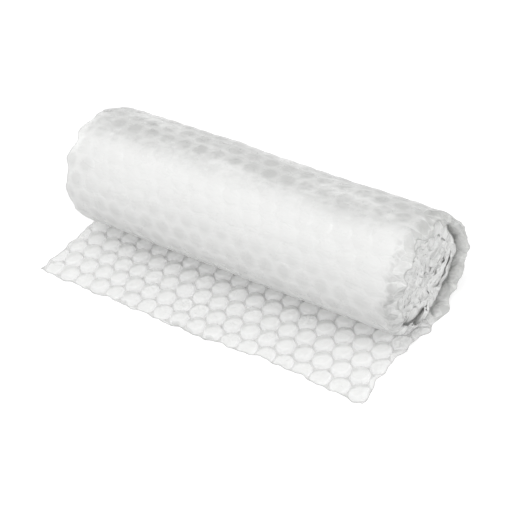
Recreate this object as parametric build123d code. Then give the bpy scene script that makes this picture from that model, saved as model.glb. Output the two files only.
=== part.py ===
from build123d import *

# A roll of large air-bubble film, lying on its side, with its loose end drawn out flat in front of it.
# Millimetres. X runs along the roll, the loose end lies towards -Y and Z is up. The origin is on the
# floor, under the middle of the roll and in the middle of its flat spot.
# The roll is one continuous web. A place on it is given by u, across the web from its left front corner,
# by s, along the web from its straight front line, and by a height over the web's backing.
# The web bends only along straight lines across it, beside its rows of bubbles, so every face is flat.

import os
from functools import cache
from math import cos, floor, pi, radians, sin, sqrt

# The web
web_width = 500.0
film_thickness = 0.8
loose_end_length = 139.5

# The air bubbles, and the gap between neighbours in a row
bubble_diameter = 24.6
bubble_gap = 1.5
bubble_height = 8.0
bubble_sides = 10
bubble_top_share = 0.82
first_row_inset = 7.2
first_bubble_inset = 17.0
edge_band = 4.0

# Bubbles that have lost air, by row and number in the row, with the share of their height that is left
slack_bubbles = {(1, 8): 0.35, (1, 9): 0.6, (2, 8): 0.7, (3, 14): 0.5, (3, 16): 0.85}
front_row_share = 0.6

# The cut front edge swings out of and into its straight line, and leaves some film round a bubble
edge_swing = 5.0
edge_swing_length = 560.0
edge_swing_start = 40.0
cut_margin = 1.0

# The side edges of the loose end: the right one draws in at its waist, and just before the roll both
# start to step over to where the turns lie
waist_depth = 10.0
waist_from_front = 60.0
step_over = 27.5
turn_shift = 10.0

# The roll, whose flat spot is a little shorter in each turn inwards
roll_height = 154.0
flat_spot = 22.0
flat_spot_loss = 2.5
turn_clearance = 0.2
eye_radius = 13.0

# How far the turns inside the last one are drawn in at the right end
right_end_recess = 9.0

# Bubbles at the ends of the turns, squeezed between them and left out where the web bends too tightly
wound_bubble_clearance = 1.8
wound_bubble_sides = 6
tightest_bend = radians(34)

# How far each bubble bulges the outside of the last turn, and its least clearance from what lies under it
relief = 1.3
relief_gap = 1.7

# What follows from these sizes
bubble_pitch = bubble_diameter + bubble_gap
row_spacing = bubble_pitch * sqrt(3) / 2
turn_pitch = film_thickness + bubble_height + turn_clearance
wound_bubble_height = turn_pitch - film_thickness - wound_bubble_clearance
quarter_step = (turn_pitch - flat_spot_loss / 4) / 4
lower_radius = (roll_height - flat_spot / 2 + flat_spot_loss / 8 + quarter_step) / 2


def stretches():
    """Each straight run or quarter turn of the web's backing, as its length and radius, up to the eye."""
    yield loose_end_length + flat_spot / 2, None
    flat, radius = flat_spot, lower_radius
    while radius > eye_radius and flat > flat_spot_loss:
        next_flat = flat - flat_spot_loss
        widenings = (0.0, flat / 2 - flat_spot_loss / 8, next_flat / 2 + flat_spot_loss / 8, 0.0)
        for quarter, widening in enumerate(widenings):
            bend = radius - quarter * quarter_step + widening
            yield bend * pi / 2, bend
        yield next_flat, None
        flat, radius = next_flat, radius - 4 * quarter_step


@cache
def station(s):
    """The backing's place in Y and Z, and its heading, at s along the web."""
    y, z, heading = -loose_end_length, 0.0, 0.0
    for length, radius in stretches():
        run = min(s, length)
        if radius is None:
            y += run * cos(heading)
            z += run * sin(heading)
        else:
            after = heading + run / radius
            y += radius * (sin(after) - sin(heading))
            z += radius * (cos(heading) - cos(after))
            heading = after
        s -= run
        if s <= 0:
            break
    return y, z, heading


@cache
def place(u, s, height=0.0):
    """The point at u across and s along the web, at a height over the backing."""
    y, z, heading = station(s)
    x = u - turn_shift - web_width / 2
    return Vector(x, y - height * sin(heading), z + height * cos(heading))


def polygon(corners, holes=()):
    """A flat face with straight edges."""
    outline = Wire.make_polygon(corners, close=True)
    return Face(outline, [Wire.make_polygon(hole, close=True) for hole in holes])


left_side = turn_shift
right_side = turn_shift + web_width


def strip(start, end, right, on_start=(), on_end=(), height=0.0, holes=()):
    """A band across the turns between two lines, with any further corners on them."""
    near = [(u, start) for u in (left_side, *on_start, right)]
    far = [(u, end) for u in (right, *reversed(on_end), left_side)]
    return polygon([place(u, s, height) for u, s in near + far], holes)


# Rows of bubbles across the web, counted from its front

def row_place(row):
    return first_row_inset + row * row_spacing


loose_rows = floor((loose_end_length - flat_spot / 2 - first_row_inset) / row_spacing) + 1
wound_length = sum(length for length, radius in stretches())
wound_rows = range(loose_rows, floor((wound_length - first_row_inset) / row_spacing))
loose_end = row_place(loose_rows - 1) + bubble_pitch / 2
web_end = row_place(wound_rows[-1]) + row_spacing / 2
last_turn_end = sum([length for length, radius in stretches()][:5])
last_turn_rows = floor((last_turn_end - first_row_inset) / row_spacing + 0.5) + 1 - loose_rows


def right_end(row):
    """Where the right side of a row of the turns runs."""
    return right_side - (right_end_recess if row >= wound_rows[last_turn_rows] else 0.0)


def left_edge(s):
    """Where the left side runs: straight up to the step, and then over to where the turns lie."""
    start = loose_end_length - step_over
    return turn_shift * min(max((s - start) / (loose_end - start), 0.0), 1.0)


def bubbles_in(row):
    """Each whole bubble of a row, by its number and centre. Odd rows start half a pitch further left."""
    start = first_bubble_inset - (bubble_pitch / 2 if row % 2 else 0)
    radius = bubble_diameter / 2
    left = left_edge(row_place(row) + radius) + edge_band
    right = web_width - waist_depth - cut_margin if row < loose_rows else right_end(row) - edge_band
    centres = [(n, start + n * bubble_pitch) for n in range(floor(right_side / bubble_pitch) + 1)]
    return {n: centre for n, centre in centres if left <= centre - radius and centre + radius <= right}


# Bubbles

def ring(centre, radius, sides):
    """Corners of a regular polygon about a point."""
    angles = [2 * pi * k / sides for k in range(sides)]
    return [(centre[0] + radius * cos(a), centre[1] + radius * sin(a)) for a in angles]


def shrunk(outline, share):
    """An outline drawn in towards its middle."""
    middle_u = sum(u for u, s in outline) / len(outline)
    middle_s = sum(s for u, s in outline) / len(outline)
    return [(middle_u + share * (u - middle_u), middle_s + share * (s - middle_s)) for u, s in outline]


def bubble_faces(foot, top):
    """Walls and top of a bubble, from the corners of its foot and its top."""
    walls = [polygon([foot[k - 1], foot[k], top[k], top[k - 1]]) for k in range(len(foot))]
    return [*walls, polygon(top)]


# The loose end

def front_edge(u):
    """Where the cut front edge runs along the web."""
    return -edge_swing * cos(2 * pi * (u - edge_swing_start) / edge_swing_length)


def behind_cut(outline):
    """What the cut front edge leaves of a bubble's outline."""
    kept = []
    for (u0, s0), (u1, s1) in zip(outline, outline[1:] + outline[:1]):
        before = s0 - front_edge(u0) - cut_margin
        after = s1 - front_edge(u1) - cut_margin
        if before > 0:
            kept.append((u0, s0))
        if before * after < 0:
            share = before / (before - after)
            kept.append((u0 + share * (u1 - u0), s0 + share * (s1 - s0)))
    return kept


def loose_bubbles():
    """Feet and faces of the bubbles on the loose end. The cut runs through the first row."""
    feet, faces = [], []
    for row in range(loose_rows):
        for number, centre in bubbles_in(row).items():
            outline = ring((centre, row_place(row)), bubble_diameter / 2, bubble_sides)
            share = slack_bubbles.get((row, number), 1.0)
            if row == 0:
                outline = behind_cut(outline)
                share = front_row_share
            rise = film_thickness + share * bubble_height
            feet.append([place(u, s, film_thickness) for u, s in outline])
            top = [place(u, s, rise) for u, s in shrunk(outline, bubble_top_share)]
            faces += bubble_faces(feet[-1], top)
    return feet, faces


def loose_outline():
    """The loose end's outline, from the left end of its back along its cut edges to the right end."""
    across = [n * bubble_pitch for n in range(floor(web_width / bubble_pitch) + 1)]
    front = [(u, front_edge(u)) for u in (*across, web_width)]
    step = loose_end_length - step_over
    left = [(left_side, loose_end), (0.0, step)]
    waist = (web_width - waist_depth, waist_from_front)
    right = [waist, (web_width, step), (right_side, loose_end)]
    return [*left, *front, *right]


def loose_end_faces():
    """Top and underside of the loose end, its cut edges and its bubbles."""
    outline = loose_outline()
    under = [place(u, s) for u, s in outline]
    over = [place(u, s, film_thickness) for u, s in outline]
    cut = [polygon([under[k - 1], under[k], over[k], over[k - 1]]) for k in range(1, len(outline))]
    feet, bubbles = loose_bubbles()
    back = [place(u, low_line(loose_rows)) for u in (right_side, left_side)]
    return [*cut, *bubbles, polygon(over, feet), polygon([*under, *back])]


# The inner side of the turns, with the first and the last bubble of each row

def inner_bends():
    """Where the inner side bends, once between each row and the next."""
    return [loose_end, *(row_place(row) + row_spacing / 2 for row in wound_rows)]


def wound_bubble(start, end, centre):
    """Foot and faces of a bubble on the flat between two bends of the web."""
    along = (end - start).normalized()
    middle = (start + end) / 2 + Vector(centre, 0, 0)
    rise = Vector(1, 0, 0).cross(along) * wound_bubble_height
    outline = ring((0, 0), bubble_diameter / 2, wound_bubble_sides)
    foot = [middle + Vector(u, 0, 0) + along * t for u, t in outline]
    top = [middle + rise + Vector(u, 0, 0) + along * t for u, t in shrunk(outline, bubble_top_share)]
    return foot, bubble_faces(foot, top)


def inner_faces():
    faces = []
    bends = inner_bends()
    for row, start, end in zip(wound_rows, bends, bends[1:]):
        feet = []
        if row > loose_rows and station(end)[2] - station(start)[2] < tightest_bend:
            centres = list(bubbles_in(row).values())
            for centre in (centres[0], centres[-1]):
                corners = [place(0.0, s, film_thickness) for s in (start, end)]
                foot, bubble = wound_bubble(*corners, centre)
                feet.append(foot)
                faces += bubble
        faces.append(strip(start, end, right_end(row), height=film_thickness, holes=feet))
    return faces


# The outer side of the turns, where each bubble of the last turn bulges its six-sided share of the film

def low_line(row):
    """Where the outer side bends before a row of bubbles."""
    return row_place(row) - row_spacing / 3


def high_line(row):
    """Where the outer side bends after a row of bubbles."""
    return row_place(row) + row_spacing / 3


def bulges(row):
    """Centres of a row's bulges: none in the inner turns, or close over the floor or the loose end."""
    straight, first, second, third, fourth = [length for length, radius in stretches()][:5]
    s = row_place(row)
    under = 0.0 if s < straight + first + second else turn_pitch
    in_last_turn = straight < s < straight + first + second + third + fourth
    if in_last_turn and station(s)[1] - under > relief + relief_gap:
        return list(bubbles_in(row).values())
    return []


def step_corners(u):
    """Outer and inner corner of the web where its right side steps in, between the last turn and the next."""
    row = wound_rows[last_turn_rows - 1]
    outer = (place(u, high_line(row)) + place(u, low_line(row + 1))) / 2
    return [outer, place(u, row_place(row) + row_spacing / 2, film_thickness)]


def corners_on(own, other):
    """Corners of six-sided cells on a line beside a row: those of its own cells, or the next row's tips."""
    half = bubble_pitch / 2
    return [own[0] - half, *(centre + half for centre in own)] if own else other


def row_faces(row):
    """The outer side over the middle of a row."""
    start, end = low_line(row), high_line(row)
    centres = bulges(row)
    if not centres:
        return [strip(start, end, right_end(row), bulges(row - 1), bulges(row + 1))]
    half = bubble_pitch / 2
    first, last = centres[0] - half, centres[-1] + half
    sides = [[(left_side, start), (first, start), (first, end), (left_side, end)],
             [(last, start), (right_side, start), (right_side, end), (last, end)]]
    faces = [polygon([place(u, s) for u, s in side]) for side in sides]
    before, after = high_line(row - 1), low_line(row + 1)
    middle = (place(0.0, start) + place(0.0, end)) / 2
    out = (place(0.0, end) - place(0.0, start)).normalized().cross(Vector(1, 0, 0))
    for centre in centres:
        tip = middle + Vector(centre, 0, 0) + out * relief
        rim = [(centre - half, start), (centre, before), (centre + half, start),
               (centre + half, end), (centre, after), (centre - half, end)]
        corners = [place(u, s) for u, s in rim]
        faces += [polygon([tip, corners[k - 1], corners[k]]) for k in range(len(corners))]
    return faces


def faces_between(row):
    """The outer side between a row and the next, as far as no bulge covers it."""
    start, end = high_line(row), low_line(row + 1)
    if right_end(row) != right_end(row + 1):
        stepped = [step_corners(u)[0] for u in (right_end(row), right_end(row + 1))]
        before, after = (left_side, right_end(row)), (right_end(row + 1), left_side)
        return [polygon([*(place(u, start) for u in before), *stepped, *(place(u, end) for u in after)])]
    here, after = bulges(row), bulges(row + 1)
    near, far = corners_on(here, after), corners_on(after, here)
    if not near:
        return [strip(start, end, right_end(row))]
    corners = [[(left_side, start), (near[0], start), (far[0], end), (left_side, end)],
               [(near[-1], start), (right_side, start), (right_side, end), (far[-1], end)]]
    if not after:
        corners += [[(near[k], start), (far[k], end), (far[k - 1], end)] for k in range(1, len(far))]
    if not here:
        corners += [[(near[k - 1], start), (near[k], start), (far[k], end)] for k in range(1, len(near))]
    return [polygon([place(u, s) for u, s in outline]) for outline in corners]


def outer_faces():
    faces = []
    for row in wound_rows:
        faces += row_faces(row)
    for row in wound_rows[:-1]:
        faces += faces_between(row)
    return [*faces, strip(high_line(wound_rows[-1]), web_end, right_end(wound_rows[-1]))]


# The side edges of the turns and the web's inner end

def cut_corners(u, s):
    """Outer and inner corner of the web's cut edge."""
    return [place(u, s), place(u, s, film_thickness)]


def side_edge(u, rows, before, after):
    """The cut edge on one side along some rows, between the corners before and after them."""
    outside = [place(u, line) for row in rows for line in (low_line(row), high_line(row))]
    inside = [place(u, row_place(row) + row_spacing / 2, film_thickness) for row in rows[:-1]]
    return polygon([before[0], *outside, *after, *reversed(inside), before[1]])


def side_edges():
    """The left edge in one, and the right edge in two with its step between them."""
    left_ends = [cut_corners(left_side, s) for s in (loose_end, web_end)]
    drawn_in = right_end(wound_rows[-1])
    outer_step, inner_step = step_corners(right_side), step_corners(drawn_in)
    last_turn, inner_turns = wound_rows[:last_turn_rows], wound_rows[last_turn_rows:]
    return [side_edge(left_side, wound_rows, *left_ends),
            side_edge(right_side, last_turn, cut_corners(right_side, loose_end), outer_step),
            polygon([*outer_step, *reversed(inner_step)]),
            side_edge(drawn_in, inner_turns, inner_step, cut_corners(drawn_in, web_end))]


def inner_end():
    left, right = [cut_corners(u, web_end) for u in (left_side, right_end(wound_rows[-1]))]
    return polygon([*left, *reversed(right)])


turns = [*inner_faces(), *outer_faces(), *side_edges(), inner_end()]
roll = Solid(Shell([*loose_end_faces(), *turns]))
os.makedirs("parts", exist_ok=True)
export_step(roll, "parts/bubble_film_roll.step")
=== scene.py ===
# The looks of a roll of bubble film that lies on its side, with its loose end drawn out flat in front.
# Sizes are in millimetres until a mesh is made. X runs along the roll, and the loose end lies towards -Y.
# On the web, u runs across it from the left and s runs along it from the front edge.
from math import cos, pi, radians, sin, sqrt

import bmesh
import bpy
import numpy as np
from mathutils import Matrix, Vector


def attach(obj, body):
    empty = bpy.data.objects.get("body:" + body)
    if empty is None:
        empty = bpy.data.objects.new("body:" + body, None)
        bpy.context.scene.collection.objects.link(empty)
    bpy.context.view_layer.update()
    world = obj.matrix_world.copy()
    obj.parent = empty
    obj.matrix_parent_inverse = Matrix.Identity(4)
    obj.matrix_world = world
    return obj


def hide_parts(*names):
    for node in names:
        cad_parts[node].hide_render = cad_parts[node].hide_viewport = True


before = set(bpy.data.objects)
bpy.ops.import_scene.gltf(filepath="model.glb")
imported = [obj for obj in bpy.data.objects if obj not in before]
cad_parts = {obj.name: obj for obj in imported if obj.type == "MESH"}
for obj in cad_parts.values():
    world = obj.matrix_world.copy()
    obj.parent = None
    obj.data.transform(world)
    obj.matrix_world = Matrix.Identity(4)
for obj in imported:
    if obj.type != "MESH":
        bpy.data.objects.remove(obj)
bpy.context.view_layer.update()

MM = 0.001
NODE = "bubble_film_roll"

# The web of film, as in the solid
web_width = 500.0
film_thickness = 0.8
loose_end_length = 139.5
bubble_diameter = 24.6
bubble_gap = 1.5
bubble_pitch = bubble_diameter + bubble_gap
bubble_radius = bubble_diameter / 2
row_spacing = bubble_pitch * sqrt(3) / 2
first_row_inset = 7.2
first_bubble_inset = 17.0

# The roll, as in the solid
roll_height = 154.0
flat_spot = 22.0
flat_spot_loss = 2.5
turn_pitch = 9.0
turn_shift = 10.0
eye_radius = 13.0
quarter_step = (turn_pitch - flat_spot_loss / 4) / 4
lower_radius = (roll_height - flat_spot / 2 + flat_spot_loss / 8 + quarter_step) / 2
right_side = turn_shift + web_width
axis_height = roll_height / 2

# Where the pieces of the web meet, along it
under_the_roll = 138.0
last_turn_end = 642.0

# Stretches along the web: where the side edges step over to the turns, and where it lifts off the floor
stepping_over = (112.0, 133.0)
lifting_off = (150.0, 230.0)

# The cut front edge: its lead over its line, and the dip on its right
front_lead = 5.0
dip_depth = 7.0
dip_place = 370.0
dip_reach = 60.0

# The side edges: the right one's waist and drawn-in corner, and the scallops round the bubbles of the turns
waist_depth = 4.0
waist_stretch = (0.0, 30.0, 70.0, 112.0)
corner_depth = 6.0
scallops_begin = (130.0, 175.0)
left_scallop = 3.2
right_scallop = 3.4
inner_scallop = 0.6

# The bubbles: their height, the share that a cut one keeps, and how squarely their shoulders turn
bubble_height = 8.0
cut_bubble_share = 0.55
loose_squareness = 10.0
wound_squareness = 7.0

# How crumpled a bubble's top is: a little on all, and more if slack, cut, chosen or by the right end
crumple = 0.4
slack_crumple = 3.0
cut_crumple = 0.9
chosen_crumple = 1.4
end_crumple = 1.5
chosen_share = 0.22

# Bubbles that have lost air on the loose end, by row and number, with what is left of their height
slack_bubbles = {(1, 8): 0.35, (1, 9): 0.6, (2, 8): 0.75, (3, 14): 0.55, (3, 16): 0.85, (4, 17): 0.8,
                 (4, 18): 0.55, (5, 18): 0.5, (5, 19): 0.35}

# The loose end's lift off the floor: along its cut edges, by its right edge, and all over
edge_lift = 1.2
edge_lift_reach = 26.0
right_curl = 3.0
right_curl_reach = 14.0
floor_lift = 0.5

# The turns' right ends, which fold in towards the eye: least behind the roll, and most in front and inside
fold_length = 21.0
inner_fold_length = 30.0
least_fold = radians(32)
most_fold = radians(85)

# How far the turns swell, and how much of their radius they lose high up behind and at their ends
swell = 0.7
sag_share = 0.05
end_draw_share = 0.05
smallest_share = 0.12

# The crumples of the turns' surface, of the last turn's right end and of the ones inside it
surface_crumple = 0.25
outer_end_crumple = 2.0
inner_end_crumple = 1.1

# How far the film at the right end lies back or forward along the roll
outer_lag = 1.5
inner_lag = 0.8
gather_depth = 2.2
outer_recess = 7.0
inner_recess = 3.0
low_bulge = 5.0
front_stretch = 4.0


# Winding

def winding():
    """The straight runs and quarter turns of the web: start, place in Y and Z, heading, curl."""
    lengths = [(loose_end_length + flat_spot / 2, 0.0)]
    flat, radius = flat_spot, lower_radius
    while radius > eye_radius and flat > flat_spot_loss:
        next_flat = flat - flat_spot_loss
        widenings = (0.0, flat / 2 - flat_spot_loss / 8, next_flat / 2 + flat_spot_loss / 8, 0.0)
        for quarter, widening in enumerate(widenings):
            bend = radius - quarter * quarter_step + widening
            lengths.append((bend * pi / 2, 1 / bend))
        lengths.append((next_flat, 0.0))
        flat, radius = next_flat, radius - 4 * quarter_step
    runs, s, y, z, heading = [], 0.0, -loose_end_length, 0.0, 0.0
    for length, curl in lengths:
        runs.append((s, y, z, heading, curl))
        after = heading + length * curl
        if curl:
            y += (sin(after) - sin(heading)) / curl
            z += (cos(heading) - cos(after)) / curl
        else:
            y += length * cos(heading)
            z += length * sin(heading)
        heading = after
        s += length
    return np.array(runs), s


winding_runs, web_length = winding()


def wind(u, s, height):
    """Places of points at u across the web, s along it and a height over its backing."""
    index = np.clip(np.searchsorted(winding_runs[:, 0], s, side="right") - 1, 0, len(winding_runs) - 1)
    start, y, z, heading, curl = winding_runs[index].T
    run = s - start
    after = heading + run * curl
    bends = curl > 0
    safe = np.where(bends, curl, 1.0)
    y = y + np.where(bends, (np.sin(after) - np.sin(heading)) / safe, run * np.cos(heading))
    z = z + np.where(bends, (np.cos(heading) - np.cos(after)) / safe, run * np.sin(heading))
    x = u - turn_shift - web_width / 2
    return np.stack([x, y - height * np.sin(after), z + height * np.cos(after)], axis=1)


# Unevenness

def smooth(value, low, high):
    """Rises smoothly from 0 at low to 1 at high, or falls where low is the higher one."""
    share = np.clip((value - low) / (high - low), 0.0, 1.0)
    return share * share * (3 - 2 * share)


def between(at_0, at_1, share):
    """Goes from one value to another as share goes from 0 to 1."""
    return at_0 + (at_1 - at_0) * share


def ripples(points, size, seed, waves=9):
    """A smooth uneven field over points, from about -1 to 1, with waves of about a size."""
    rng = np.random.default_rng(seed)
    total = np.zeros(len(points))
    for direction in rng.normal(size=(waves, points.shape[1])):
        step = 2 * pi / (size * rng.uniform(0.65, 1.5))
        total += np.sin(points @ (direction / np.linalg.norm(direction)) * step + rng.uniform(0, 2 * pi))
    return total / sqrt(waves / 2) / 1.6


def creases(points, size, seed):
    """Sharp ridges over points, from 0 in the dips to 1 on the ridges."""
    return (1 - np.abs(ripples(points, size, seed))) ** 2


def waver(place, *waves):
    """The waver of a hand-held cutter: waves that each have a height, a length and a start."""
    return sum(height * np.sin(place / length + start) for height, length, start in waves)


# The lattice of bubbles

def cell_object(segments, rings):
    """One six-sided flat cell of the web, with rings of corners about its bubble's centre."""
    bm = bmesh.new()
    middle = bm.verts.new((0, 0, 0))
    angles = [radians(30) + 2 * pi * k / segments for k in range(segments)]
    loops = [[bm.verts.new((r * cos(a), r * sin(a), 0)) for a in angles]
             for r in (ring * bubble_radius for ring in rings)]
    side = radians(60)
    reach = [bubble_pitch / 2 / cos((a + side / 2) % side - side / 2) for a in angles]
    loops.append([bm.verts.new((r * cos(a), r * sin(a), 0)) for r, a in zip(reach, angles)])
    for k in range(segments):
        bm.faces.new((middle, loops[0][k - 1], loops[0][k]))
        for inner, outer in zip(loops, loops[1:]):
            bm.faces.new((inner[k - 1], outer[k - 1], outer[k], inner[k]))
    mesh = bpy.data.meshes.new("bubble cell")
    bm.to_mesh(mesh)
    bm.free()
    cell = bpy.data.objects.new("bubble cell", mesh)
    bpy.context.scene.collection.objects.link(cell)
    return cell


def lattice_tree():
    """Geometry Nodes that repeat a cell over staggered rows and weld the cells into one web."""
    tree = bpy.data.node_groups.new("bubble lattice", "GeometryNodeTree")
    sockets = [("Cell", "Geometry"), ("Columns", "Int"), ("Rows", "Int"), ("Pitch", "Float"),
               ("Row Spacing", "Float"), ("First Across", "Float"), ("First Along", "Float"),
               ("Weld", "Float"), ("Material", "Material")]
    for name, kind in sockets:
        tree.interface.new_socket(name, in_out="INPUT", socket_type="NodeSocket" + kind)
    tree.interface.new_socket("Web", in_out="OUTPUT", socket_type="NodeSocketGeometry")
    node = tree.nodes.new
    given = node("NodeGroupInput").outputs

    def math(operation, *values):
        made = node("ShaderNodeMath")
        made.operation = operation
        for socket, value in zip(made.inputs, values):
            if isinstance(value, (int, float)):
                socket.default_value = value
            else:
                tree.links.new(value, socket)
        return made.outputs[0]

    # Half a step keeps the row right where the index divides evenly
    index = node("GeometryNodeInputIndex").outputs[0]
    row = math("FLOOR", math("DIVIDE", math("ADD", index, 0.5), given["Columns"]))
    column = math("SUBTRACT", index, math("MULTIPLY", row, given["Columns"]))
    stagger = math("MULTIPLY", math("MODULO", row, 2.0), 0.5)
    across = math("MULTIPLY", math("SUBTRACT", column, stagger), given["Pitch"])
    along = math("MULTIPLY", row, given["Row Spacing"])
    place = node("ShaderNodeCombineXYZ")
    tree.links.new(math("ADD", across, given["First Across"]), place.inputs["X"])
    tree.links.new(math("ADD", along, given["First Along"]), place.inputs["Y"])
    points = node("GeometryNodePoints")
    tree.links.new(math("MULTIPLY", given["Columns"], given["Rows"]), points.inputs["Count"])
    tree.links.new(place.outputs[0], points.inputs["Position"])
    copies = node("GeometryNodeInstanceOnPoints")
    tree.links.new(points.outputs[0], copies.inputs["Points"])
    tree.links.new(given["Cell"], copies.inputs["Instance"])
    real = node("GeometryNodeRealizeInstances")
    tree.links.new(copies.outputs[0], real.inputs["Geometry"])
    weld = node("GeometryNodeMergeByDistance")
    tree.links.new(real.outputs[0], weld.inputs["Geometry"])
    tree.links.new(given["Weld"], weld.inputs["Distance"])
    finish = node("GeometryNodeSetMaterial")
    tree.links.new(weld.outputs[0], finish.inputs["Geometry"])
    tree.links.new(given["Material"], finish.inputs["Material"])
    tree.links.new(finish.outputs[0], node("NodeGroupOutput").inputs[0])
    return tree


def flat_web(tree, material, first_row, rows, first_column, columns, segments, rings):
    """The flat web over some rows and columns, as a bmesh. first_row is even, so the stagger fits."""
    cell = cell_object(segments, rings)
    modifier = cell.modifiers.new("lattice", "NODES")
    modifier.node_group = tree
    sizes = {"Columns": columns, "Rows": rows, "Pitch": bubble_pitch, "Row Spacing": row_spacing,
             "First Across": first_bubble_inset + first_column * bubble_pitch,
             "First Along": first_row_inset + first_row * row_spacing,
             "Weld": bubble_gap / 50, "Material": material}
    for item in tree.interface.items_tree:
        if item.name in sizes:
            modifier[item.identifier] = sizes[item.name]
    cell.update_tag()
    evaluated = cell.evaluated_get(bpy.context.evaluated_depsgraph_get())
    mesh = bpy.data.meshes.new_from_object(evaluated)
    bpy.data.objects.remove(cell)
    bm = bmesh.new()
    bm.from_mesh(mesh)
    bpy.data.meshes.remove(mesh)
    return bm


def trim(bm, edge, across, keep_above):
    """Cuts the flat web along a line: edge gives s of u where it runs across, or else u of s."""
    def shift(sign):
        for vert in bm.verts:
            if across:
                vert.co.y += sign * edge(vert.co.x)
            else:
                vert.co.x += sign * edge(vert.co.y)

    shift(-1)
    normal = Vector((0, 1, 0)) if across else Vector((1, 0, 0))
    parts = [*bm.verts, *bm.edges, *bm.faces]
    bmesh.ops.bisect_plane(bm, geom=parts, dist=1e-4, plane_co=(0, 0, 0),
                           plane_no=-normal if keep_above else normal, clear_outer=True)
    shift(1)


def straight(place):
    """A straight cut at one place."""
    return lambda along_it: place


def nearest_bubble(u, s):
    """Row and number of the bubble nearest to each point, and its offset from the bubble's centre."""
    best = np.full(len(u), np.inf)
    found = [np.zeros(len(u)) for part in range(4)]
    guess = np.floor((s - first_row_inset) / row_spacing)
    for row in (guess, guess + 1):
        start = first_bubble_inset - (np.mod(row, 2) > 0.5) * bubble_pitch / 2
        number = np.round((u - start) / bubble_pitch)
        off_u = u - start - number * bubble_pitch
        off_s = s - first_row_inset - row * row_spacing
        away = np.hypot(off_u, off_s)
        for part, value in zip(found, (row, number, off_u, off_s)):
            part[away < best] = value[away < best]
        best = np.minimum(best, away)
    return *(part.astype(int) for part in found[:2]), *found[2:]


def chances(row, number, seed):
    """Numbers from 0 to 1 that are the same all over a bubble."""
    table = np.random.default_rng(seed).random((128, 40))
    return table[row + 4, number + 4]


# Edges of the web

def front_edge(u):
    """The cut front edge of the loose end: a long dip on the right, with a hand-held cutter's waver."""
    dip = dip_depth * np.exp(-((u - dip_place) / dip_reach) ** 2)
    return dip - front_lead + waver(u, (1.2, 9.1, 0.6), (0.8, 4.7, 2.0), (0.5, 2.6, 0.0))


def between_bubbles(s):
    """From 1 beside a row that reaches the edge to -1 beside the next one."""
    return np.cos(pi * (s - first_row_inset) / row_spacing)


def left_edge(s):
    """The left side, which steps over to the turns and is scalloped round the bubbles there."""
    step = turn_shift * smooth(s, *stepping_over)
    scallop = left_scallop * smooth(s, *scallops_begin) * between_bubbles(s)
    return step - scallop + waver(s, (1.1, 5.3, 1.0), (0.7, 3.1, 0.0))


def right_edge(s):
    """The right side, which draws in at its waist and again where it steps over to the turns."""
    waist = waist_depth * np.interp(s, waist_stretch, [0.0, 1.0, 1.0, 0.0])
    corner = corner_depth * smooth(s, 110.0, 136.0) * smooth(s, 215.0, 175.0)
    step = turn_shift * smooth(s, *stepping_over) - corner
    loss = (right_scallop - inner_scallop) * smooth(s, last_turn_end - 40.0, last_turn_end)
    scallop = (right_scallop * smooth(s, *scallops_begin) - loss) * between_bubbles(s)
    return web_width - waist + step - scallop + waver(s, (1.3, 6.1, 0.0), (0.8, 3.4, 1.5))


def from_side(u, s):
    """How far each point is from the nearer side of the web."""
    return np.minimum(u - left_edge(s), right_edge(s) - u)


def from_edge(u, s):
    """How far each point is from the nearest cut edge of the web."""
    return np.minimum(from_side(u, s), s - front_edge(u))


# Bubbles

def air_left(row, number):
    """What is left of the height of each point's bubble."""
    left = np.ones(len(row))
    for (slack_row, slack_number), part in slack_bubbles.items():
        left = np.where((row == slack_row) & (number == slack_number), part, left)
    return left


def dome(share, squareness):
    """How high a bubble stands at a share of its radius: flat in the middle, with round shoulders."""
    return np.sqrt(np.clip(1 - np.clip(share, 0, 1) ** squareness, 0, 1))


def web_layers(u, s, wound):
    """Heights of both layers over the web's line, the share of a bubble's radius, and a chance."""
    row, number, off_u, off_s = nearest_bubble(u, s)
    share = np.hypot(off_u, off_s) / bubble_radius
    flat = np.stack([u, s], axis=1)
    inward = right_side - u

    # Full, slack and cut bubbles
    left = air_left(row, number)
    cut = from_edge(u - off_u, s - off_s) < bubble_radius
    near_cut = np.where(cut, smooth(from_edge(u, s), 0.5, 9.0), 1.0)
    fullness = bubble_height * left * (0.94 + 0.1 * chances(row, number, seed=3))
    fullness = np.where(cut, cut_bubble_share * fullness, fullness)
    chosen = chances(row, number, seed=5) > 1.0 - chosen_share
    crumpled = crumple + slack_crumple * (1 - left) + cut_crumple * cut + chosen_crumple * chosen
    if wound:
        by_the_end = smooth(inward, 2.0 * fold_length, fold_length)
        fullness *= 1.0 - 0.6 * by_the_end * chances(row, number, seed=15)
        crumpled = crumpled + end_crumple * by_the_end
    rise = dome(share, wound_squareness if wound else loose_squareness) * fullness * near_cut

    # Each bubble's top leans and is dented in its own way
    lean = off_u * (chances(row, number, seed=7) - 0.5) + off_s * (chances(row, number, seed=8) - 0.5)
    own = flat + 40.0 * np.stack([chances(row, number, seed=9), chances(row, number, seed=10)], axis=1)
    dents = 0.35 * ripples(own, 7.0, seed=11) + 0.5 * creases(own, 9.0, seed=12) - 0.3
    rise += smooth(share, 1.0, 0.8) * near_cut * (0.08 * lean + crumpled * dents)
    if wound:
        rise = np.clip(rise, 0.0, turn_pitch - film_thickness - 0.25)
    over = film_thickness + np.clip(rise, 0.0, None)

    # The backing bulges a little over the bubbles of the turns, and more by their right end
    bulge = np.zeros(len(u))
    if wound:
        puffed = 0.8 + 1.6 * chances(row, number, seed=14) * smooth(inward, fold_length + 9.0, 6.0)
        bulge = puffed * (1 - np.clip(share, 0, 1) ** 2.2) * smooth(from_side(u, s), 0.0, 6.0)
    return over, -bulge, share, chances(row, number, seed=6)


# How the film looks from place to place

def all_inside(s):
    """Whether the points belong to the turns inside the last one."""
    return s.min() > last_turn_end - 1.0


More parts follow.
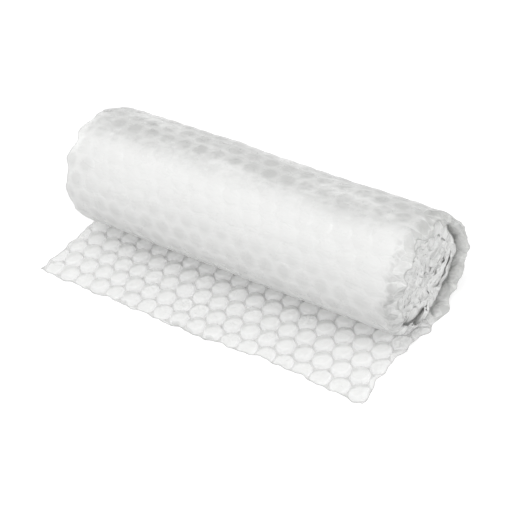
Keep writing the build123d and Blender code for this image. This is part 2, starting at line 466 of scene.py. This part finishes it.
def bubbles_shown_off_lit_band(u, s, wound):
    """How plainly the bubbles show: best on the loose end, and least on the middle of the roll's front,
    which is kept plain and light as a painted lit band.
    """
    if not wound:
        return 2.0 + 0.0 * u
    if all_inside(s):
        return 0.0 * u
    above_the_front = smooth(s, 425.0, 385.0)
    below_the_front = smooth(s, 465.0, 500.0)
    by_the_left_end = 0.9 * smooth(u, 95.0, 30.0)
    return 0.1 + 0.9 * np.maximum(np.maximum(above_the_front, below_the_front), by_the_left_end)


def how_crumpled(u, s, wound):
    """Where the film is crumpled: along the last turn's right edge, and in all of the turns inside it."""
    if not wound:
        return 0.0 * u
    if all_inside(s):
        return 0.0 * u + 1.0
    ragged = 9.0 * creases(np.stack([u, s], axis=1), 12.0, seed=60)
    return smooth(right_side - u + ragged, 1.5 * fold_length, 0.9 * fold_length)


def clear_and_shaded_places(u, s, wound):
    """Where the film is clear, which also paints shade: in patches over the roll's top, and at its right
    end.
    """
    if not wound:
        return 0.0 * u
    # Inside the last turn, clear film and painted shade, greyer towards the right end
    if all_inside(s):
        return 0.4 * smooth(u, 100.0, 400.0)
    drawn_out = np.stack([u * 0.35, s], axis=1)
    # Over the roll's top the film is darker in patches: clear film, and painted shade
    over_the_top = smooth(s, 440.0, 385.0) * (0.5 + 0.4 * smooth(s, 325.0, 375.0))
    uneven = 1.0 + 0.5 * ripples(drawn_out, 45.0, seed=61) + 0.7 * creases(drawn_out, 12.0, seed=62) - 0.2
    # The last turn's fold at the right end is greyer: clear film, and painted shade where it turns in
    at_the_end = 0.8 * how_crumpled(u, s, wound) * smooth(s, 640.0, 480.0)
    return np.maximum(np.clip(over_the_top * uneven, 0.0, 1.0), at_the_end)


def how_thin(u, s, wound):
    """Where the last turn stands clear of the others as one layer: along its right edge, over the top."""
    if not wound or all_inside(s):
        return 0.0 * u
    return smooth(right_side - u, 1.2 * fold_length, 0.4 * fold_length) * smooth(s, 460.0, 380.0)


# How the film lies

def lie_flat(u, s, height):
    """The loose end on the floor, a little lifted along its cut edges."""
    flat = np.stack([u, s], axis=1)
    lift = edge_lift * (1 + ripples(flat, 90.0, seed=21)) * smooth(from_edge(u, s), edge_lift_reach, 0.0)
    lift += right_curl * smooth(right_edge(s) - u, right_curl_reach, 0.0) * smooth(s, 130.0, 90.0)
    lift += floor_lift * (1 + ripples(flat, 60.0, seed=22))
    return wind(u, s, height + np.clip(lift, 0.0, None) * smooth(s, 132.0, 108.0))


def fold(inward, inner, in_front, wound):
    """How far film at the right end comes in towards the axis, and back along it, where it is folded."""
    turned = np.clip(between(fold_length, inner_fold_length, inner) - inward, 0.0, None) * wound
    bend = fold_length / between(least_fold, most_fold, in_front)
    return bend * (1 - np.cos(turned / bend)), turned - bend * np.sin(turned / bend)


def settle(u, s, height):
    """The wound film: uneven along the roll, drawn in at its left end and crumpled at its right end."""
    points = wind(u, s, height)
    y, z = points[:, 1], points[:, 2] - axis_height
    radius = np.maximum(np.hypot(y, z), 1.0)
    inward = right_side - u

    # Where each point is, from 0 to 1
    wound = smooth(s, *lifting_off)
    left = smooth(u - turn_shift, 16.0, -4.0) * wound
    right = smooth(inward, 46.0, 0.0) * wound
    inner = smooth(s, last_turn_end - 40.0, last_turn_end + 20.0)
    low = smooth(-z / radius, 0.0, 0.9)
    high_behind = smooth((0.6 * y + 0.8 * z) / radius, 0.5, 0.95)
    well_inside = 0.75 * inner + 0.25 * smooth(s, last_turn_end + 50.0, last_turn_end + 500.0)
    in_front = np.maximum(smooth(1.3 * low - y / radius, -0.4, 0.6), well_inside)

    # Nearer to the axis or farther from it
    swollen = swell * ripples(points, 110.0, seed=31) * wound
    sag = sag_share * high_behind * smooth(u, 190.0, 270.0) * wound
    folded_in, folded_back = fold(inward, inner, in_front, wound)
    scale = 1 + (swollen - folded_in) / radius - end_draw_share * (left + low * right) - sag
    scale = np.maximum(scale, smallest_share)
    y, z = y * scale, z * scale

    # Along the roll, with the bulge low down behind where the film now is
    low_behind = smooth(-z / radius, -0.1, 0.5) * smooth(y / radius, 0.0, 0.5)
    uneven = ripples(np.stack([s, s * 0], axis=1), 90.0, seed=50)
    lag = between(outer_lag, inner_lag, inner) * uneven * right
    ruffle = creases(np.stack([s, u * 0.25], axis=1), 13.0, seed=51) - 0.4
    gathers = gather_depth * ruffle * smooth(inward, 30.0, 12.0) * wound
    recess = between(outer_recess, inner_recess, inner) * low * right
    bulge = low_bulge * low_behind * (1 - inner) * right
    stretch = front_stretch * smooth(inward, 60.0, fold_length) * in_front * wound
    x = points[:, 0] + lag + gathers + stretch + bulge - recess - folded_back

    # Crumples in all directions
    field = [ripples(points, 32.0, 40 + k) + 0.25 * ripples(points, 11.0, 44 + k) for k in range(3)]
    amount = surface_crumple * wound + between(outer_end_crumple, inner_end_crumple, inner) * right
    crumples = np.stack(field, axis=1) * amount[:, None]
    return np.stack([x, y, axis_height + z], axis=1) + crumples


# Pieces

def piece_from(bm, name, material, wound):
    """A closed piece of film from a flat web: both layers, and walls along its cut edges."""
    bm.verts.ensure_lookup_table()
    bm.verts.index_update()
    flat = np.array([vert.co for vert in bm.verts])
    faces = [[vert.index for vert in face.verts] for face in bm.faces]
    rim = [(loop.vert.index, loop.link_loop_next.vert.index)
           for face in bm.faces for loop in face.loops if len(loop.edge.link_faces) == 1]
    bm.free()
    count = len(flat)
    u, s = flat[:, 0], flat[:, 1]
    over, under, share, chance = web_layers(u, s, wound)
    lie = settle if wound else lie_flat
    places = np.concatenate([lie(u, s, over), lie(u, s, under)]) * MM
    polygons = [*faces, *([count + i for i in reversed(face)] for face in faces),
                *((b, a, count + a, count + b) for a, b in rim)]
    mesh = bpy.data.meshes.new(name)
    mesh.from_pydata(places.tolist(), [], [list(p) for p in polygons])
    mesh.materials.append(material)
    mesh.polygons.foreach_set("use_smooth", np.ones(len(mesh.polygons), bool))
    fields = {"bubble_share": share,
              # The bubbles' grey is kept off the middle of the roll's front: a painted lit band
              "bubble_shown_off_lit_band": bubbles_shown_off_lit_band(u, s, wound) * (0.45 + 0.55 * chance),
              "crumpled": how_crumpled(u, s, wound),
              "clear": clear_and_shaded_places(u, s, wound),
              "thin": how_thin(u, s, wound),
              "from_edge": np.clip(from_edge(u, s) / 8.0, 0.0, 1.0)}
    for attribute, value in fields.items():
        around = mesh.attributes.new(attribute, "FLOAT", "POINT")
        around.data.foreach_set("value", np.tile(value, 2).astype(np.float32))
    web_map = mesh.uv_layers.new(name="web")
    corners = np.zeros(len(mesh.loops), np.int32)
    mesh.loops.foreach_get("vertex_index", corners)
    places_on_web = np.tile(flat[:, :2], (2, 1))[corners] * MM
    web_map.data.foreach_set("uv", places_on_web.astype(np.float32).ravel())
    mesh.validate()
    piece = bpy.data.objects.new(name, mesh)
    bpy.context.scene.collection.objects.link(piece)
    return piece


def film_piece(name, material, lattice_part, cell, cuts, wound):
    """A piece of the web: part of the lattice, cut along both sides and along some more lines."""
    bm = flat_web(lattice, material, *lattice_part, *cell)
    trim(bm, left_edge, across=False, keep_above=True)
    trim(bm, right_edge, across=False, keep_above=False)
    for edge, across, keep_above in cuts:
        trim(bm, edge, across, keep_above)
    piece = piece_from(bm, name, material, wound)
    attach(piece, "root")
    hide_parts(NODE)


# Materials

def shader(name):
    """A material with an empty tree, and a function that adds a node to it."""
    material = bpy.data.materials.new(name)
    material.use_nodes = True
    tree = material.node_tree
    tree.nodes.clear()

    def add(kind, links=(), **values):
        node = tree.nodes.new("ShaderNode" + kind)
        for key, value in values.items():
            setattr(node, key, value)
        for socket, value in dict(links).items():
            if isinstance(value, bpy.types.NodeSocket):
                tree.links.new(value, node.inputs[socket])
            else:
                node.inputs[socket].default_value = value
        return node

    return material, add


def grey(level, warmth=0.006):
    """A nearly neutral colour, a little yellowish green as the film is."""
    return (level, level + warmth / 2, level - warmth, 1.0)


# Pure white, for the painted highlights on bubble walls and the glinting creases
white = grey(1.0, 0.0)
# Painted shade along the film's cut edges
painted_edge_shade = grey(0.45)

# How much darker the film is where it is clear, which also paints shade over the roll's top and on its right
# end
clear_and_shade_loss = 0.31

# Where a bubble's wall, shoulder and rim are, as shares of its radius
bubble_wall = (0.76, 0.82)
bubble_shoulder = (0.86, 0.92)
bubble_rim = (1.0, 1.02)

# Patterns in the film, as repeats in a metre of web
cloud_repeats = 28.0
swirl_repeats = 60.0
fold_repeats = 85.0
facet_repeats = 150.0
crinkle_repeats = 170.0

# The crinkles are longer across the web than along it, and the swirl bends them
crinkle_stretch = (0.45, 1.0, 1.0)
swirl_reach = (0.012, 0.012, 0.0)


def film_material(name, welded_tone_and_gap_shade, over_air, soft_rim, rim_highlight, opacity, through, shade, crinkle):
    """Milky polyethylene film with fine crinkles, its bubbles another grey than the fused film round them.

    welded_tone_and_gap_shade and over_air are its tones between the bubbles and on them; on the loose end
    the darker tone between the bubbles is painted shade. soft_rim is the share of a bubble's radius in which
    they blend, and rim_highlight how white a bubble's walls are painted, as a highlight. opacity is how much
    the film hides, through how much light it passes on, shade how much shadow it throws and crinkle how
    strong its relief is.
    """
    material, add = shader(name)

    def ramp(value, low, high, at_low, at_high):
        return add("MapRange", {"Value": value, "From Min": low, "From Max": high, "To Min": at_low,
                                "To Max": at_high}, interpolation_type="SMOOTHSTEP").outputs[0]

    def math(operation, one, other):
        return add("Math", {0: one, 1: other}, operation=operation).outputs[0]

    def mixed(amount, one, other):
        return add("Mix", {0: amount, 6: one, 7: other}, data_type="RGBA").outputs[2]

    def field(attribute):
        return add("Attribute", attribute_name=attribute).outputs["Fac"]

    web = add("UVMap", uv_map="web").outputs[0]
    share = field("bubble_share")
    crumpled = field("crumpled")
    clear = field("clear")
    thin = field("thin")

    # Patterns: clouds, fine crinkles, and folds and facets whose lines are bent by a swirl
    cloud = add("TexNoise", {"Vector": web, "Scale": cloud_repeats, "Detail": 4.0,
                             "Roughness": 0.6}).outputs[0]
    along = add("VectorMath", {0: web, 1: crinkle_stretch}, operation="MULTIPLY").outputs[0]
    fine = add("TexNoise", {"Vector": along, "Scale": crinkle_repeats, "Detail": 3.0,
                            "Roughness": 0.6}).outputs[0]
    swirl = add("TexNoise", {"Vector": web, "Scale": swirl_repeats, "Detail": 2.0}).outputs[1]
    bent = add("VectorMath", {0: swirl, 1: swirl_reach, 2: along}, operation="MULTIPLY_ADD").outputs[0]
    folds = add("TexVoronoi", {"Vector": bent, "Scale": fold_repeats}, feature="DISTANCE_TO_EDGE").outputs[0]
    facet = add("TexVoronoi", {"Vector": bent, "Scale": facet_repeats}).outputs[1]

    # Tone: fused film and discs of air, with painted shade between the loose end's bubbles; clear patches
    # that also paint shade over the roll's top and its right end; painted highlights on bubble walls;
    # creases partly whitened by folding and partly painted glints; and painted shade along the cut edges
    on_air = ramp(share, bubble_rim[0] - soft_rim, bubble_rim[1], 1.0, 0.0)
    shown = ramp(math("MULTIPLY", cloud, field("bubble_shown_off_lit_band")), 0.02, 0.45, 0.0, 1.0)
    disc = math("MULTIPLY", on_air, shown)
    # On the loose end the darker tone between the bubbles is painted shade
    milky_and_gap_shaded = mixed(disc, grey(welded_tone_and_gap_shade), grey(over_air))
    # Clear patches that also paint shade over the roll's top and on its right end
    clear_and_shaded_share = math("MULTIPLY", clear, ramp(disc, 0.0, 0.8, 0.7, 1.0))
    clear_and_shaded_tone = mixed(clear_and_shaded_share, milky_and_gap_shaded, grey(welded_tone_and_gap_shade - clear_and_shade_loss))
    # Bubble walls and shoulders drawn white on the loose end: a painted highlight
    rim_highlight_mask = math("MULTIPLY", ramp(share, *bubble_wall, 0.0, rim_highlight), ramp(share, *bubble_rim, 1.0, 0.0))
    rim_highlighted = mixed(rim_highlight_mask, clear_and_shaded_tone, white)
    # Crease lines drawn white: partly film whitened by folding, partly painted glints
    crease_whitening_and_glint = math("MULTIPLY", ramp(folds, 0.0, 0.05, ramp(thin, 0.0, 1.0, 0.4, 0.9), 0.0), crumpled)
    whitened_glinting_creases = mixed(crease_whitening_and_glint, rim_highlighted, white)
    # A grey line along the cut edges is painted shade; the edges also hide more there
    edge_shade_line = ramp(field("from_edge"), 0.05, 0.25, 0.6, 0.0)
    tone = mixed(edge_shade_line, whitened_glinting_creases, painted_edge_shade)

    # Relief: folds and crinkles as bump, and facets that lean, most where the film is crumpled
    ridges = ramp(folds, 0.0, 0.12, 0.0, 1.0)
    height = add("Math", {0: ridges, 1: fine, 2: fine}, operation="MULTIPLY_ADD").outputs[0]
    ruffled = add("Bump", {"Height": height, "Strength": crinkle,
                           "Distance": ramp(crumpled, 0.0, 1.0, 0.001, 0.0016)}).outputs[0]
    lean = add("VectorMath", {0: facet, 1: (-0.5, -0.5, -0.5)}, operation="ADD").outputs[0]
    most_lean = math("MAXIMUM", ramp(crumpled, 0.0, 1.0, 0.0, 0.65), ramp(clear, 0.0, 1.0, 0.05, 0.35))
    leaning = add("VectorMath", {0: lean, "Scale": most_lean}, operation="SCALE").outputs[0]
    leant = add("VectorMath", {0: leaning, 1: ruffled}, operation="ADD").outputs[0]
    normal = add("VectorMath", {0: leant}, operation="NORMALIZE").outputs[0]
    rough = math("MULTIPLY", ramp(cloud, 0.3, 0.7, 0.2, 0.4), ramp(crumpled, 0.0, 1.0, 1.0, 0.6))

    # What it hides: less where one layer stands alone, and less of the light than of the view
    film_hides = ramp(share, 1.0, 1.03, opacity, min(1.0, opacity + 0.25))
    shoulder = math("MULTIPLY", rim_highlight_mask, ramp(share, *bubble_shoulder, 0.25, 0.0))
    hides = math("MAXIMUM", math("MAXIMUM", film_hides, edge_shade_line), shoulder)
    is_shadow = add("LightPath").outputs["Is Shadow Ray"]
    of_view = ramp(thin, 0.0, 1.0, 1.0, 0.7)
    of_light = ramp(crumpled, 0.0, 1.0, shade, 0.2)
    alpha = math("MULTIPLY", hides, ramp(is_shadow, 0.0, 1.0, of_view, of_light))

    plastic = add("BsdfPrincipled", {"Base Color": tone, "Roughness": rough, "Normal": normal, "IOR": 1.49,
                                     "Specular IOR Level": 0.45, "Alpha": alpha}).outputs[0]
    glowing = add("BsdfTranslucent", {"Color": grey(welded_tone_and_gap_shade), "Normal": normal}).outputs[0]
    film = add("MixShader", {0: ramp(thin, 0.0, 1.0, through, 0.45), 1: plastic, 2: glowing}).outputs[0]
    material.node_tree.links.new(film, add("OutputMaterial").inputs[0])
    return material


# The loose end's darker tone between its bubbles is painted shade, and its white bubble walls painted
# highlights
loose_film = film_material("single layer of bubble film", welded_tone_and_gap_shade=0.80, over_air=0.93, soft_rim=0.0,
                           rim_highlight=1.0, opacity=0.34, through=0.12, shade=0.45, crinkle=0.8)
wound_film = film_material("layers of bubble film", welded_tone_and_gap_shade=0.90, over_air=0.82, soft_rim=0.55,
                           rim_highlight=0.0, opacity=1.0, through=0.08, shade=0.9, crinkle=0.28)


# The pieces of the web. A part of the lattice is its first row, rows, first column and columns.
# A cell is its corners in a ring, and its rings' shares of a bubble's radius.
# A cut is its line, whether it runs across the web, and whether the web beyond it is kept.

lattice = lattice_tree()
fine_rings = (0.3, 0.58, 0.78, 0.88, 0.935, 0.97, 0.99, 1.0)
plain_rings = (0.45, 0.78, 0.92, 1.0)
end_band = 64.0

film_piece("film_loose_end", loose_film, (-2, 10, -1, 21), (36, fine_rings),
           [(front_edge, True, True), (straight(under_the_roll), True, False)], wound=False)

film_piece("film_outer_turn", wound_film, (4, 26, -1, 22), (18, plain_rings),
           [(straight(under_the_roll), True, True), (straight(last_turn_end), True, False)], wound=True)

inner_turns = [(straight(last_turn_end), True, True), (straight(web_length - 2.0), True, False)]
film_piece("film_inner_turns_left", wound_film, (26, 82, -1, 6), (12, plain_rings),
           [(straight(end_band), False, False), *inner_turns], wound=True)
film_piece("film_inner_turns_right", wound_film, (26, 82, 16, 6), (12, plain_rings),
           [(straight(right_side - end_band), False, True), *inner_turns], wound=True)


# The floor, the light and the camera

def seen_directly(tree):
    """1 for what the camera, a reflection or clear film shows, and 0 for light that falls on the roll."""
    path = tree.nodes.new("ShaderNodeLightPath").outputs
    seen = path["Is Camera Ray"]
    for kind in ("Is Glossy Ray", "Is Transmission Ray"):
        either = tree.nodes.new("ShaderNodeMath")
        either.operation = "MAXIMUM"
        tree.links.new(seen, either.inputs[0])
        tree.links.new(path[kind], either.inputs[1])
        seen = either.outputs[0]
    return seen


def floor_material():
    """Pale matt paint that shows as white and keeps the roll's shadow."""
    material, add = shader("floor paint")
    matt = add("BsdfDiffuse", {"Color": (0.6, 0.6, 0.6, 1)}).outputs[0]
    glow = add("Emission", {"Color": (1, 1, 1, 1), "Strength": 0.55}).outputs[0]
    lit = add("AddShader", {0: matt, 1: glow}).outputs[0]
    paint = add("MixShader", {0: seen_directly(material.node_tree), 1: matt, 2: lit}).outputs[0]
    material.node_tree.links.new(paint, add("OutputMaterial").inputs[0])
    return material


# Half the floor's width, in metres
floor_half = 4.0
mesh = bpy.data.meshes.new("floor")
mesh.from_pydata([(-floor_half, -floor_half, 0), (floor_half, -floor_half, 0),
                  (floor_half, floor_half, 0), (-floor_half, floor_half, 0)], [], [(0, 1, 2, 3)])
mesh.materials.append(floor_material())
floor = bpy.data.objects.new("floor", mesh)
bpy.context.scene.collection.objects.link(floor)

# The studio is white where it is seen, and half as bright where it lights the roll
world = bpy.data.worlds.new("studio")
bpy.context.scene.world = world
world.use_nodes = True
tree = world.node_tree
background = tree.nodes["Background"]
strength = tree.nodes.new("ShaderNodeMapRange")
strength.inputs["To Min"].default_value = 0.5
strength.inputs["To Max"].default_value = 1.0
tree.links.new(seen_directly(tree), strength.inputs["Value"])
tree.links.new(strength.outputs[0], background.inputs["Strength"])
background.inputs["Color"].default_value = (1, 1, 1, 1)


def lamp(name, azimuth, elevation, softness, strength):
    """A soft light that comes from a direction."""
    away = Vector((sin(azimuth) * cos(elevation), -cos(azimuth) * cos(elevation), sin(elevation)))
    data = bpy.data.lights.new(name, "SUN")
    data.angle = softness
    data.energy = strength
    light = bpy.data.objects.new(name, data)
    light.rotation_euler = away.to_track_quat("Z", "Y").to_euler()
    bpy.context.scene.collection.objects.link(light)


lamp("overhead", radians(-10), radians(78), radians(30), 0.58)
lamp("front", radians(10), radians(44), radians(24), 0.85)
lamp("right end", radians(105), radians(20), radians(50), 1.2)
lamp("left end", radians(-100), radians(12), radians(50), 0.8)

# The camera, as fitted to the centres of the bubbles in the photograph, in metres
view_azimuth = radians(43.886)
view_elevation = radians(40.291)
view_roll = radians(-11.609)
view_distance = 1.8440
view_target = Vector((-0.06906, 0.05641, -0.05869))
camera_data = bpy.data.cameras.new("camera")
camera_data.sensor_width = 36.0
camera_data.lens = 97.64
camera = bpy.data.objects.new("camera", camera_data)
back = Vector((sin(view_azimuth) * cos(view_elevation), -cos(view_azimuth) * cos(view_elevation),
               sin(view_elevation)))
level = Vector((cos(view_azimuth), sin(view_azimuth), 0))
rise = back.cross(level)
right = cos(view_roll) * level + sin(view_roll) * rise
up = cos(view_roll) * rise - sin(view_roll) * level
camera.matrix_world = Matrix.Translation(view_target + back * view_distance) @ Matrix(
    (right, up, back)).transposed().to_4x4()
bpy.context.scene.collection.objects.link(camera)
bpy.context.scene.camera = camera
bpy.context.scene.view_settings.view_transform = "Standard"
